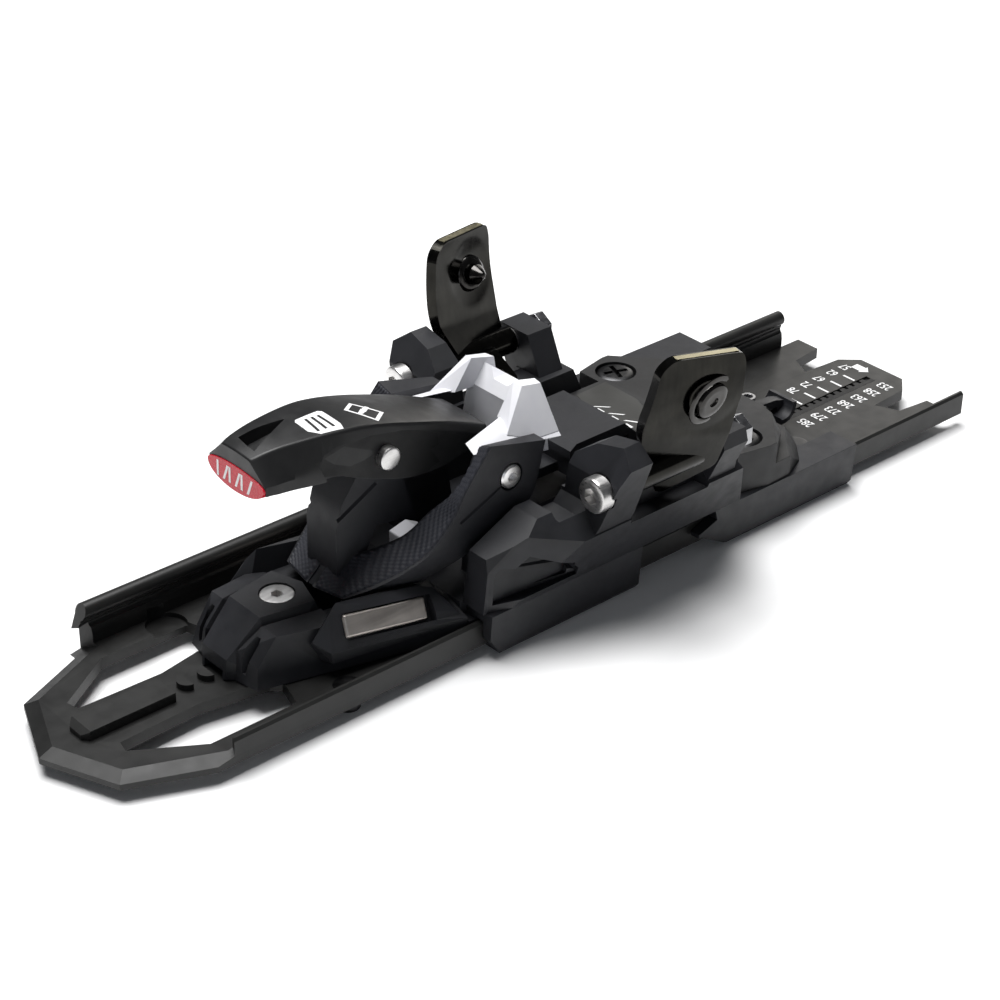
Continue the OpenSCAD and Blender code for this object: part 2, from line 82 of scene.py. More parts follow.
MM = 0.001
NOSE_X = -90.0      # drawing X of the plate's nose
PLATE_T = 3.0       # plate thickness, below drawing Z 0
PLATE_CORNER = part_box("base_plate")[0]
SHIFT = Vector((PLATE_CORNER.x / MM - NOSE_X, 0.0, PLATE_CORNER.z / MM + PLATE_T))
TO_PART = Matrix.Scale(MM, 4) @ Matrix.Translation(SHIFT)
TO_DRAWING = TO_PART.inverted()
MIRROR_Y = Matrix.Scale(-1, 4, Vector((0, 1, 0)))
BOTH_SIDES = (Matrix.Identity(4), MIRROR_Y)     # near side first
SCENE = bpy.context.scene

JAW_AXLE = Vector((0, 35.5, 31))    # on the far jaw's axle
OPEN_ANGLE = 14                     # the jaws at rest, from closed, degrees
PIVOT_X, PIVOT_Z = 26.5, 33.7       # the yoke's pivot
LEVER_PIN = (-1.1, 0, 44.4)
DECK_SCREW = (101.6, -22.6, 17.9)
NOSE_SCREW = (-25.8, 0, 13.5)
DECK_TOP = 18.0
STUDS = ((-24, 23), (-24, -23), (134, 13), (134, -13))


def box_mm(node):
    """Corners of a CAD node in the drawing frame."""
    low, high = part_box(node)
    return TO_DRAWING @ low, TO_DRAWING @ high


def shift(x, y, z):
    return Matrix.Translation((x, y, z))


def spin(degrees, axis):
    return Matrix.Rotation(math.radians(degrees), 4, axis)


def turn_about(centre, degrees, axis):
    """Rotation about a point of the drawing."""
    return Matrix.Translation(centre) @ spin(degrees, axis) @ Matrix.Translation(-centre)


# ------------------------------------------------------------------ materials

def new_material(name):
    mat = bpy.data.materials.new(name)
    mat.use_nodes = True
    tree = mat.node_tree
    return mat, tree, tree.nodes["Principled BSDF"]


def noise(tree, scale, detail, stretch=None):
    """Noise over object coordinates, which are the part's own metres."""
    coords = tree.nodes.new("ShaderNodeTexCoord")
    node = tree.nodes.new("ShaderNodeTexNoise")
    node.inputs["Scale"].default_value = scale
    node.inputs["Detail"].default_value = detail
    source = coords.outputs["Object"]
    if stretch:
        mapping = tree.nodes.new("ShaderNodeMapping")
        mapping.inputs["Scale"].default_value = stretch
        tree.links.new(source, mapping.inputs["Vector"])
        source = mapping.outputs["Vector"]
    tree.links.new(source, node.inputs["Vector"])
    return node.outputs["Fac"]


def ramp(tree, factor, stops):
    """Colour ramp; a stop is a place and a colour or a grey."""
    node = tree.nodes.new("ShaderNodeValToRGB")
    elements = node.color_ramp.elements
    while len(elements) < len(stops):
        elements.new(0.5)
    for element, (place, colour) in zip(elements, stops):
        element.position = place
        if not hasattr(colour, "__len__"):
            colour = (colour, colour, colour)
        element.color = (*colour, 1)
    tree.links.new(factor, node.inputs["Fac"])
    return node.outputs["Color"]


def bump(tree, shader, layers):
    """Chains height textures (factor, distance in mm, strength) into the shader's normal."""
    normal = None
    for factor, distance, strength in layers:
        node = tree.nodes.new("ShaderNodeBump")
        node.inputs["Distance"].default_value = distance * MM
        node.inputs["Strength"].default_value = strength
        tree.links.new(factor, node.inputs["Height"])
        if normal:
            tree.links.new(normal, node.inputs["Normal"])
        normal = node.outputs["Normal"]
    tree.links.new(normal, shader.inputs["Normal"])


def plastic(name, dark, light, rough=(0.42, 0.55), grain=0.35, specular=0.34, edge_wear_and_highlight=0.0):
    """Moulded plastic: patchy colour, spark-eroded grain, lighter edges of wear and painted
    highlight.
    """
    mat, tree, shader = new_material(name)
    patches = noise(tree, 90, 6)
    colour = ramp(tree, patches, [(0.35, dark), (0.68, light)])
    if edge_wear_and_highlight:
        # Lighter colour on sharp edges: rubbed wear together with a painted highlight along the
        # bevels.
        geometry = tree.nodes.new("ShaderNodeNewGeometry")
        edge = ramp(tree, geometry.outputs["Pointiness"], [(0.515, 0.0), (0.56, edge_wear_and_highlight)])
        mix = tree.nodes.new("ShaderNodeMixRGB")
        mix.inputs["Color2"].default_value = (*[min(1, 5 * c) for c in light], 1)
        tree.links.new(edge, mix.inputs["Fac"])
        tree.links.new(colour, mix.inputs["Color1"])
        colour = mix.outputs["Color"]
    tree.links.new(colour, shader.inputs["Base Color"])
    tree.links.new(ramp(tree, noise(tree, 260, 5), [(0.3, rough[0]), (0.7, rough[1])]),
                   shader.inputs["Roughness"])
    shader.inputs["Specular IOR Level"].default_value = specular
    bump(tree, shader, [(noise(tree, 3600, 2), 0.02, grain), (noise(tree, 500, 3), 0.03, 0.15)])
    return mat


def steel(name, dark, light, rough=(0.16, 0.3), stretch=(1, 1, 1), brush=0.2, specks=0.0,
          anisotropic=0.0):
    """Metal: streaky colour and roughness along the direction it was worked in."""
    mat, tree, shader = new_material(name)
    shader.inputs["Metallic"].default_value = 1.0
    shader.inputs["Anisotropic"].default_value = anisotropic
    streaks = noise(tree, 700, 5, stretch)
    clouds = noise(tree, 120, 4)
    mix = tree.nodes.new("ShaderNodeMixRGB")
    mix.blend_type = "MULTIPLY"
    mix.inputs["Fac"].default_value = 0.5
    tree.links.new(ramp(tree, clouds, [(0.3, dark), (0.7, light)]), mix.inputs["Color1"])
    tree.links.new(ramp(tree, streaks, [(0.25, 0.55), (0.7, 1.0)]), mix.inputs["Color2"])
    tree.links.new(mix.outputs["Color"], shader.inputs["Base Color"])
    tree.links.new(ramp(tree, streaks, [(0.3, rough[0]), (0.75, rough[1])]),
                   shader.inputs["Roughness"])
    layers = [(streaks, 0.01, brush)]
    if specks:
        layers.append((noise(tree, 2400, 2), 0.02, specks))
    bump(tree, shader, layers)
    return mat


def printed(name, colour, rough=(0.4, 0.6)):
    """Ink or label stock with a slightly uneven coat."""
    mat, tree, shader = new_material(name)
    low = tuple(0.86 * c for c in colour)
    tree.links.new(ramp(tree, noise(tree, 800, 4), [(0.3, low), (0.6, colour)]),
                   shader.inputs["Base Color"])
    tree.links.new(ramp(tree, noise(tree, 1500, 3), [(0.3, rough[0]), (0.7, rough[1])]),
                   shader.inputs["Roughness"])
    bump(tree, shader, [(noise(tree, 5000, 2), 0.01, 0.3)])
    return mat


MATERIALS = {
    "moulded_plastic": plastic("moulded_plastic", (0.0077, 0.00805, 0.00945),
                               (0.0119, 0.01225, 0.0147), edge_wear_and_highlight=0.1),
    "deck_plastic": plastic("deck_plastic", (0.0091, 0.0091, 0.00966), (0.014, 0.014, 0.01435),
                            edge_wear_and_highlight=0.1),
    "satin_panel": plastic("satin_panel", (0.030, 0.030, 0.028), (0.042, 0.042, 0.040),
                           rough=(0.34, 0.42), grain=0.2),
    "lever_plastic": plastic("lever_plastic", (0.0075, 0.00765, 0.0081), (0.012, 0.012, 0.01238),
                             rough=(0.34, 0.46), grain=0.22, edge_wear_and_highlight=0.08),
    # Darkest plastic for the rack and the badge strokes, and painted shade on the lever's recess
    # floors.
    "darkest_plastic_and_painted_shade": plastic("darkest_plastic_and_painted_shade", (0.004, 0.004, 0.0044),
                              (0.007, 0.007, 0.0075), rough=(0.45, 0.6)),
    "grip_rubber": plastic("grip_rubber", (0.012, 0.013, 0.018), (0.022, 0.023, 0.030),
                           rough=(0.55, 0.7), grain=0.8),
    "black_steel": plastic("black_steel", (0.00714, 0.00714, 0.00693), (0.01008, 0.01008, 0.00966),
                           rough=(0.36, 0.46), grain=0.16, edge_wear_and_highlight=0.12),
    "black_screw": steel("black_screw", (0.035, 0.035, 0.036), (0.06, 0.06, 0.062),
                         rough=(0.3, 0.42), specks=0.15),
    "bright_screw": steel("bright_screw", (0.62, 0.61, 0.60), (0.86, 0.85, 0.84),
                          rough=(0.26, 0.38), stretch=(0.3, 1, 3), specks=0.08),
    "spring_steel": steel("spring_steel", (0.28, 0.28, 0.29), (0.42, 0.42, 0.43)),
    "side_steel": steel("side_steel", (0.42, 0.385, 0.355), (0.60, 0.56, 0.52),
                        rough=(0.42, 0.55), stretch=(0.1, 1.4, 1.4), brush=0.3,
                        anisotropic=0.3),
    "jaw_steel": steel("jaw_steel", (0.017, 0.0165, 0.015), (0.031, 0.03, 0.0265),
                       rough=(0.12, 0.2), stretch=(1.2, 1.2, 0.15), brush=0.05,
                       specks=0.04, anisotropic=0.2),
    "jaw_edge": steel("jaw_edge", (0.34, 0.31, 0.20), (0.50, 0.46, 0.32), rough=(0.3, 0.42),
                      specks=0.3),
    "pin_steel": steel("pin_steel", (0.035, 0.034, 0.032), (0.065, 0.062, 0.06),
                       rough=(0.14, 0.26)),
    "white_plastic": plastic("white_plastic", (0.74, 0.74, 0.78), (0.84, 0.84, 0.86),
                             rough=(0.34, 0.46), grain=0.12),
    "red_label": printed("red_label", (0.55, 0.012, 0.03), rough=(0.2, 0.32)),
    "white_ink": printed("white_ink", (0.82, 0.82, 0.82)),
}


# ---------------------------------------------------------------- mesh helpers

def linked(data):
    obj = bpy.data.objects.new("scratch", data)
    SCENE.collection.objects.link(obj)
    return obj


def object_from(bm):
    mesh = bpy.data.meshes.new("scratch")
    bm.to_mesh(mesh)
    bm.free()
    return linked(mesh)


def baked(obj):
    """New mesh of an object, with its modifiers or its letters worked out."""
    depsgraph = bpy.context.evaluated_depsgraph_get()
    return bpy.data.meshes.new_from_object(obj.evaluated_get(depsgraph))


def applied(obj):
    """Replaces the object's mesh with its modified mesh."""
    mesh = baked(obj)
    obj.modifiers.clear()
    obj.data = mesh
    return obj


def prism(outline, axis, low, high):
    """Straight solid. axis is the direction of extrusion; the outline gives the other two."""
    bm = bmesh.new()
    place = {"x": lambda a, b, c: (c, a, b), "y": lambda a, b, c: (a, c, b),
             "z": lambda a, b, c: (a, b, c)}[axis]
    rings = [[bm.verts.new(place(a, b, c)) for a, b in outline] for c in (low, high)]
    count = len(outline)
    for k in range(count):
        bm.faces.new((rings[0][k], rings[0][(k + 1) % count],
                      rings[1][(k + 1) % count], rings[1][k]))
    bm.faces.new(rings[0][::-1])
    bm.faces.new(rings[1])
    bmesh.ops.recalc_face_normals(bm, faces=bm.faces)
    return object_from(bm)


def circle(radius, count, centre=(0, 0)):
    """Outline of a regular polygon that stands for a circle."""
    step = 2 * math.pi / count
    return [(centre[0] + radius * math.cos(step * k), centre[1] + radius * math.sin(step * k))
            for k in range(count)]


def hull(points):
    """Convex solid round a list of points."""
    bm = bmesh.new()
    for p in points:
        bm.verts.new(p)
    bmesh.ops.convex_hull(bm, input=bm.verts)
    loose = [v for v in bm.verts if not v.link_faces]
    bmesh.ops.delete(bm, geom=loose, context="VERTS")
    bmesh.ops.dissolve_limit(bm, angle_limit=math.radians(1), verts=bm.verts, edges=bm.edges)
    bmesh.ops.recalc_face_normals(bm, faces=bm.faces)
    return object_from(bm)


def turned(profile, steps=48):
    """Solid of revolution about Z from (radius, height) points, closed on the axis."""
    bm = bmesh.new()
    rings = []
    for radius, height in profile:
        if radius < 1e-6:
            rings.append([bm.verts.new((0, 0, height))])
        else:
            rings.append([bm.verts.new((radius * math.cos(t), radius * math.sin(t), height))
                          for t in (2 * math.pi * k / steps for k in range(steps))])
    for lower, upper in zip(rings, rings[1:]):
        for k in range(steps):
            loop = [lower[k % len(lower)], lower[(k + 1) % len(lower)],
                    upper[(k + 1) % len(upper)], upper[k % len(upper)]]
            unique = list(dict.fromkeys(loop))
            if len(unique) > 2:
                bm.faces.new(unique)
    bmesh.ops.recalc_face_normals(bm, faces=bm.faces)
    return object_from(bm)


def skin(rings):
    """Closed surface through loops of equally many points."""
    bm = bmesh.new()
    loops = [[bm.verts.new(p) for p in ring] for ring in rings]
    count = len(rings[0])
    for lower, upper in zip(loops, loops[1:]):
        for k in range(count):
            bm.faces.new((lower[k], lower[(k + 1) % count], upper[(k + 1) % count], upper[k]))
    bm.faces.new(loops[0][::-1])
    bm.faces.new(loops[-1])
    bmesh.ops.recalc_face_normals(bm, faces=bm.faces)
    return object_from(bm)


def curve_through(points, steps):
    """Catmull-Rom points through a list of vectors."""
    points = [Vector(p) for p in points]
    ends = [2 * points[0] - points[1], *points, 2 * points[-1] - points[-2]]
    out = []
    for a, b, c, d in zip(ends, ends[1:], ends[2:], ends[3:]):
        for k in range(steps):
            t = k / steps
            out.append(0.5 * (2 * b + (c - a) * t + (2 * a - 5 * b + 4 * c - d) * t ** 2
                              + (3 * b - a - 3 * c + d) * t ** 3))
    out.append(points[-1])
    return out


def moved(obj, matrix):
    """Moves the mesh itself; a mirrored mesh keeps its normals outwards."""
    obj.data.transform(matrix)
    if matrix.to_3x3().determinant() < 0:
        obj.data.flip_normals()
    return obj


def joined(parts):
    """One mesh from several, left as separate shells."""
    bm = bmesh.new()
    for part in parts:
        bm.from_mesh(part.data)
        bpy.data.objects.remove(part)
    return object_from(bm)


def boolean(obj, others, operation):
    for other in others:
        modifier = obj.modifiers.new("boolean", "BOOLEAN")
        modifier.operation = operation
        modifier.solver = "EXACT"
        modifier.object = other
        applied(obj)
        bpy.data.objects.remove(other)
    return obj


def union(obj, *others):
    return boolean(obj, others, "UNION")


def cut(obj, *others):
    return boolean(obj, others, "DIFFERENCE")


def welded(obj):
    """Joins doubled points and merges flat faces, ready for bevels."""
    bm = bmesh.new()
    bm.from_mesh(obj.data)
    bmesh.ops.remove_doubles(bm, verts=bm.verts, dist=0.02)
    bmesh.ops.dissolve_limit(bm, angle_limit=math.radians(0.6), verts=bm.verts, edges=bm.edges)
    bmesh.ops.recalc_face_normals(bm, faces=bm.faces)
    bm.to_mesh(obj.data)
    bm.free()
    return obj


def bevelled(obj, width, segments, angle, miter="MITER_SHARP"):
    modifier = obj.modifiers.new("edge", "BEVEL")
    modifier.width = width
    modifier.segments = segments
    modifier.limit_method = "ANGLE"
    modifier.angle_limit = math.radians(angle)
    modifier.miter_outer = miter
    return applied(obj)


def rounded(obj, width, segments=3, angle=16):
    """Rounds the edges that are sharper than an angle."""
    return bevelled(welded(obj), width, segments, angle, "MITER_ARC")


def thickened(obj, thickness, offset, even=False):
    """Gives a sheet a thickness, inwards for an offset of -1 and outwards for 1."""
    modifier = obj.modifiers.new("thick", "SOLIDIFY")
    modifier.thickness = thickness
    modifier.offset = offset
    modifier.use_even_offset = even
    return applied(obj)


def cad_copy(node):
    """The node's mesh in the drawing frame, as a new object."""
    bm = bmesh.new()
    bm.from_mesh(frame["nodes"][node].data)
    bmesh.ops.remove_doubles(bm, verts=bm.verts, dist=1e-5)
    obj = object_from(bm)
    return welded(moved(obj, TO_DRAWING))


def piece(name, obj, body, slot, material=None, replaces=(), smooth=35):
    """Names a finished mesh, moves it to the part's frame and gives it to a body."""
    moved(obj, TO_PART)
    obj.name = name
    obj.data.materials.clear()
    obj.data.materials.append(MATERIALS[material or slot])
    obj.data.shade_smooth()
    obj.data.set_sharp_from_angle(angle=math.radians(smooth))
    modifier = obj.modifiers.new("normals", "WEIGHTED_NORMAL")
    modifier.weight = 90
    modifier.keep_sharp = True
    applied(obj)
    obj.data.name = name
    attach(obj, body)
    if replaces:
        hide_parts(*replaces)


def rounded_copy(name, node, body, slot, width, segments=3, material=None):
    """A piece with a CAD node's own shape and rounded edges."""
    piece(name, rounded(cad_copy(node), width, segments), body, slot, material, replaces=[node])


def surface_of(obj):
    """Search tree over a mesh that is still in the drawing frame."""
    bm = bmesh.new()
    bm.from_mesh(obj.data)
    tree = BVHTree.FromBMesh(bm)
    bm.free()
    return tree


def side_solid(tree, outline, side, depth, outer, fallback=10.9, parts=3):
    """Solid over an X, Z outline, from a depth below a mesh's side face out to a width."""
    path = []
    for (x0, z0), (x1, z1) in zip(outline, outline[1:] + outline[:1]):
        path += [(x0 + (x1 - x0) * k / parts, z0 + (z1 - z0) * k / parts)
                 for k in range(parts)]
    inner, rim = [], []
    for x, z in path:
        hit = tree.ray_cast(Vector((x, side * 80, z)), Vector((0, -side, 0)))[0]
        y = abs(hit.y) if hit else fallback
        inner.append((x, side * (y - depth), z))
        rim.append((x, side * (y + outer), z))
    return skin([inner, rim])


def halves(build):
    """A near-side shape and its mirror image, as two objects."""
    return [moved(build(), flip) for flip in BOTH_SIDES]


def mirrored(points):
    """Points on both sides of the middle plane."""
    return [(x, side * y, z) for x, y, z in points for side in (-1, 1)]


def frame_from(origin, x_axis, y_hint):
    """Placement whose local X runs along x_axis and whose local Y is near y_hint."""
    x = Vector(x_axis).normalized()
    z = x.cross(Vector(y_hint)).normalized()
    y = z.cross(x)
    rotation = Matrix((x, y, z)).transposed().to_4x4()
    return Matrix.Translation(Vector(origin)) @ rotation


def opened(obj, near):
    """Swings a far-side closed jaw shape to the drawn open position."""
    moved(obj, turn_about(JAW_AXLE, -OPEN_ANGLE, "X"))
    return moved(obj, MIRROR_Y) if near else obj


# ------------------------------------------------------------------ base plate

SCALE_PITCH = 5.33
FAR_NUMBERS = (57, 62, 67, 72, 78, 84, 90, 96)
NEAR_NUMBERS = (253, 258, 263, 268, 273, 279, 285)
SCALE_ROWS = ((FAR_NUMBERS, 176.6, 7.4), (NEAR_NUMBERS, 176.4, -7.2))   # numbers, first X, Y
INK_Z = 0.03
INK_T = 0.02
DIGIT = 4.1                     # height of the scale's numbers
DIGIT_WIDTH = 0.72              # narrowing of the typeface
TIP_Y, GAP_Y = -0.5, -1.7       # ends of the rack's teeth and of the gaps between them


def build_base():
    rounded_copy("base_plate_body", "base_plate", "base", "black_steel", 0.4, 2)
    piece("length_rack_body", rack(), "base", "black_steel", "darkest_plastic_and_painted_shade",
          replaces=["length_rack"])
    rounded_copy("base_stud_set", "base_studs", "base", "black_screw", 0.3)
    rivets = [moved(rivet(), shift(x, y, 0)) for x, y in STUDS]
    piece("stud_rivets", joined(rivets), "base", "black_screw")


def rivet():
    """Riveted end of a stud, nearly flush with the plate."""
    return turned([(0, -0.6), (3.3, -0.6), (3.4, 0.06), (2.9, 0.13), (1.2, 0.15), (0, 0.05)])


def rack():
    """Toothed strip in the plate's slot, flush with its top."""
    low, high = box_mm("length_rack")
    pitch = SCALE_PITCH / 2
    teeth = []
    x = low.x
    while x + pitch < high.x:
        teeth += [(x, TIP_Y), (x + 0.55 * pitch, TIP_Y), (x + 0.6 * pitch, GAP_Y),
                  (x + 0.95 * pitch, GAP_Y)]
        x += pitch
    outline = [(low.x, low.y)] + teeth + [(high.x, GAP_Y), (high.x, low.y)]
    floor = prism([(low.x, low.y), (high.x, low.y), (high.x, high.y), (low.x, high.y)], "z",
                  low.z, -0.7)
    return joined([floor, prism(outline, "z", -0.8, 0.03)])


def digits(number):
    """A number as a thin mesh that reads along Y."""
    curve = bpy.data.curves.new("words", "FONT")
    curve.body = str(number)
    curve.size = DIGIT
    curve.align_x = "CENTER"
    curve.align_y = "CENTER"
    curve.offset = 0.006 * DIGIT
    curve.resolution_u = 3
    curve.extrude = INK_T
    words = linked(curve)
    mesh = baked(words)
    bpy.data.objects.remove(words)
    return moved(linked(mesh), spin(90, "Z") @ Matrix.Diagonal((DIGIT_WIDTH, 1, 1, 1)))


def ink(outline, z, depth=INK_T):
    """Thin printed shape at a height, in X and Y."""
    return prism(outline, "z", z - depth, z + INK_T)


def build_scale():
    """Printed sole-length scale beside the rack."""
    marks = []
    for numbers, x, y in SCALE_ROWS:
        marks += [moved(digits(number), shift(x - k * SCALE_PITCH, y, INK_Z))
                  for k, number in enumerate(numbers)]
    for k in range(len(FAR_NUMBERS)):
        x = 172.5 - k * SCALE_PITCH
        tick = [(x - 0.32, 0.4), (x + 0.32, 0.4), (x + 0.32, 4.4), (x - 0.32, 4.4)]
        marks.append(ink(tick, INK_Z))
    arrow = [(179.2, 1.2), (181.2, 3.2), (180.5, 3.2), (180.5, 6.4), (177.9, 6.4), (177.9, 3.2),
             (177.2, 3.2)]
    marks.append(ink(arrow, INK_Z))
    piece("scale_print", joined(marks), "base", "black_steel", "white_ink")


# -------------------------------------------------------------------- carriage

STEEL_PLACE = (shift(-8.5, -19.2, 9.6)
               @ Euler([math.radians(v) for v in (-32, 9, -4)], "XYZ").to_matrix().to_4x4())


def build_carriage():
    rounded_copy("slide_frame_body", "slide_frame", "carriage", "moulded_plastic", 0.55)
    piece("nose_block_body", nose_block(), "carriage", "moulded_plastic",
          replaces=["nose_block"])
    piece("nose_screw_body", nose_screw(), "carriage", "bright_screw", replaces=["nose_screw"])
    plates = rounded(moved(cad_copy("side_plates"), shift(-1.0, 0, 0.4)), 1.0, 4)
    piece("side_plate_set", plates, "carriage", "side_steel", replaces=["side_plates"])
    piece("housing_body", housing(), "carriage", "moulded_plastic", replaces=["housing"])
    piece("deck_cover_body", deck_cover(), "carriage", "deck_plastic", replaces=["deck_cover"])
    build_deck_marks()
    build_fixings()


def build_fixings():
    """Screws, axles and nuts, and the small parts at the walk stop and the pawl."""
    piece("deck_screw_set", joined(halves(deck_screw)), "carriage", "black_screw",
          replaces=["deck_screws"])
    piece("jaw_axle_set", joined(halves(axle)), "carriage", "bright_screw",
          replaces=["jaw_axles"])
    rounded_copy("axle_nut_set", "axle_nuts", "carriage", "bright_screw", 0.3,
                 material="spring_steel")
    piece("yoke_screw_set", joined(halves(yoke_screw)), "carriage", "bright_screw",
          replaces=["yoke_screws"])
    rounded_copy("walk_stop_body", "walk_stop", "carriage", "white_plastic", 0.4)
    rounded_copy("pawl_pin_body", "pawl_pin", "carriage", "pin_steel", 0.25)
    rounded_copy("pawl_spring_body", "pawl_spring", "carriage", "spring_steel", 0.1)


def nose_block():
    """Nose block: a plateau for the screw, two shoulders and two steel plate pockets."""
    def shoulder():
        return hull([(-35.2, -12.2, 12.2), (-23.5, -14.6, 11.0), (-35.6, -7.4, 12.7),
                     (-20.6, -9.6, 12.2), (-19.6, -15.2, 9.6), (-41.2, -12.6, 0.35),
                     (-42.4, -6, 0.35), (-30.7, -15.4, 0.35), (-18, -18.6, 0.35),
                     (-18, 0, 0.35), (-41.6, -6, 8.0), (-40.2, -11.6, 5.4)])

    def tail():
        return hull([(-24, -14.2, 10.4), (-24, -8, 10.6), (9.7, -17.4, 7.4), (9.7, -8, 7.4),
                     (-24, -17.2, 0.35), (-3, -22.8, 0.35), (9.7, -25.2, 0.35),
                     (9.7, -25.0, 4.6), (-3, -22.4, 5.4), (9.7, 0, 0.35), (-24, 0, 0.35)])

    def hump():
        return hull([(-23.0, -15.4, 14.4), (-20.6, -14.8, 16.3), (5.4, -17.4, 10.9),
                     (1.5, -16.7, 12.6), (6.6, -14.6, 11), (-28, -15.6, 9.2), (-25, -19.4, 4.2),
                     (8.6, -24.4, 3.2), (9.4, -17, 3.2), (-27, -11, 3.2), (-25.4, -19.2, 7.0),
                     (8.6, -23.4, 5.6)])

    def pocket():
        face = [(-11.6, -3.1), (11.6, -3.1), (11.6, 3.1), (-11.6, 3.1)]
        return moved(prism(face, "y", -6, 1.3), STEEL_PLACE)

    def front_slot():
        return hull([(-46, -9.4, 3), (-46, -6.6, 3), (-38, -7.6, 11.5), (-38, -9.8, 11.5),
                     (-46, -9.4, 8), (-46, -6.6, 8), (-36.4, -8.6, 10.5), (-39, -8.6, 3)])

    core = mirrored([(-34.8, 5.8, 13.9), (-21.3, 8.2, 13.9), (-43.6, 4.6, 5.6),
                     (-44.2, 4.2, 0.35), (-17, 10.5, 0.35), (-36, 11.5, 0.35)])
    block = union(hull([*core, (-18.6, 0, 13.8)]),
                  *halves(shoulder), *halves(tail), *halves(hump))
    under_slot = prism([(-60, -3.4), (-33, -3.4), (-33, 3.4), (-60, 3.4)], "z", -1, 2.4)
    well = moved(turned([(0, -2.7), (4.25, -0.8), (4.25, 3.5), (0, 3.5)]), shift(*NOSE_SCREW))
    cut(block, *halves(pocket), *halves(front_slot), under_slot, well)
    return rounded(block, 0.7)


def hex_cutter(radius, low, high):
    return prism(circle(radius, 6), "z", low, high)


def nose_screw():
    head = turned([(0, -2.4), (2.2, -2.2), (3.9, -0.35), (4.05, -0.15), (4.0, 0.0),
                   (3.7, 0.12), (0, 0.16)])
    return moved(cut(head, hex_cutter(1.5, -1.6, 1)), shift(*NOSE_SCREW))


def housing():
    """Housing with a sunk panel in each flank, openings for the yoke and cut front corners."""
    flank = [(13.4, 8.4), (13.8, 16.6), (15.4, 17.8), (34.6, 13.2), (37.2, 10.6), (37.4, 8.4)]
    opening = [(30, 40), (30.6, 25.6), (32.6, 23.5), (38, 23.5), (40.6, 26), (40.6, 40)]
    corner = [(8, -23.5, 24), (8, -44, 24), (28, -44, 24), (25, -35.5, 24), (8, -44, 3),
              (8, -31, 3), (17, -44, 3), (15.5, -37.5, 3)]
    shell = cad_copy("housing")
    walls = surface_of(shell)
    for side, flip in zip((-1, 1), BOTH_SIDES):
        cut(shell, side_solid(walls, flank, side, 1.1, 2, fallback=33, parts=2),
            moved(prism(opening, "y", -32, -22.3), flip), moved(hull(corner), flip))
    return rounded(shell, 0.7)


def deck_cover():
    """Deck with its heel corners cut back."""
    corner = [(104, 32.4), (115.3, 23.8), (117.2, 16.3), (135, 16.3), (135, 45), (104, 45)]
    deck = cad_copy("deck_cover")
    cut(deck, *halves(lambda: prism(corner, "z", 12, 20)))
    return rounded(deck, 0.6)


def deck_screw():
    """Low-headed screw with a cross recess."""
    head = turned([(0, -2), (4.6, -1.9), (4.95, -1.4), (4.9, -0.5), (4.3, -0.08), (3, 0.06),
                   (0, 0.1)])
    for turn in (20, 110):
        slot = prism([(-3.3, -0.62), (3.3, -0.62), (3.3, 0.62), (-3.3, 0.62)], "z", -1.1, 1)
        cut(head, moved(slot, spin(turn, "Z")))
    return moved(head, shift(*DECK_SCREW))


def axle():
    """Jaw axle: a stepped head with a hexagon recess, a shaft and a rounded end."""
    shaft = turned([(0, 0), (3.6, 0.0), (4.2, 0.35), (4.4, 0.9), (4.4, 3.4), (3.4, 3.7),
                    (3, 4.0), (3, 46.2), (2.6, 46.6), (0, 46.6)])
    cut(shaft, hex_cutter(2.2, -1, 2))
    return moved(shaft, shift(37.4, -JAW_AXLE.y, JAW_AXLE.z) @ spin(90, "Y"))


def yoke_screw():
    """Button-headed pivot screw in the outside of a yoke arm."""
    head = turned([(0, 9.2), (2.5, 9.2), (2.5, 1.9), (2.9, 1.7), (2.95, 0.5), (2.6, 0.1),
                   (1.9, -0.05), (0, -0.1)])
    cut(head, hex_cutter(1.45, -1, 1.3))
    return moved(head, shift(PIVOT_X, -20.9, PIVOT_Z) @ spin(-90, "X"))


def build_deck_marks():
    """Satin panel and plain printed bars on the deck."""
    panel = prism([(83.4, 15.4), (84.8, 19.6), (95.4, 20), (95.2, 8), (91, -2), (86.4, -8),
                   (83.4, -8)], "z", DECK_TOP - 0.04, DECK_TOP + 0.06)
    piece("deck_panel", rounded(panel, 0.03, 1), "carriage", "deck_plastic", "satin_panel")
    outlines = [[(90.9, 1), (95.6, 2.8), (91.7, -0.7)]]
    for k in range(4):
        x = 83.6 + 0.5 * k
        y = 12.4 - 5.2 * k
        outlines.append([(x, y), (x + 0.7, y - 0.3), (87.2, y - 3.2), (86.5, y - 3)])
        outlines.append([(83.4, y - 1.6), (84.2, y - 1.6), (84.2, y - 4), (83.4, y - 4)])
    bars = [ink(outline, DECK_TOP + 0.09, 0.03) for outline in outlines]
    piece("deck_print", joined(bars), "carriage", "deck_plastic", "white_ink")


# ------------------------------------------------------------------------ yoke

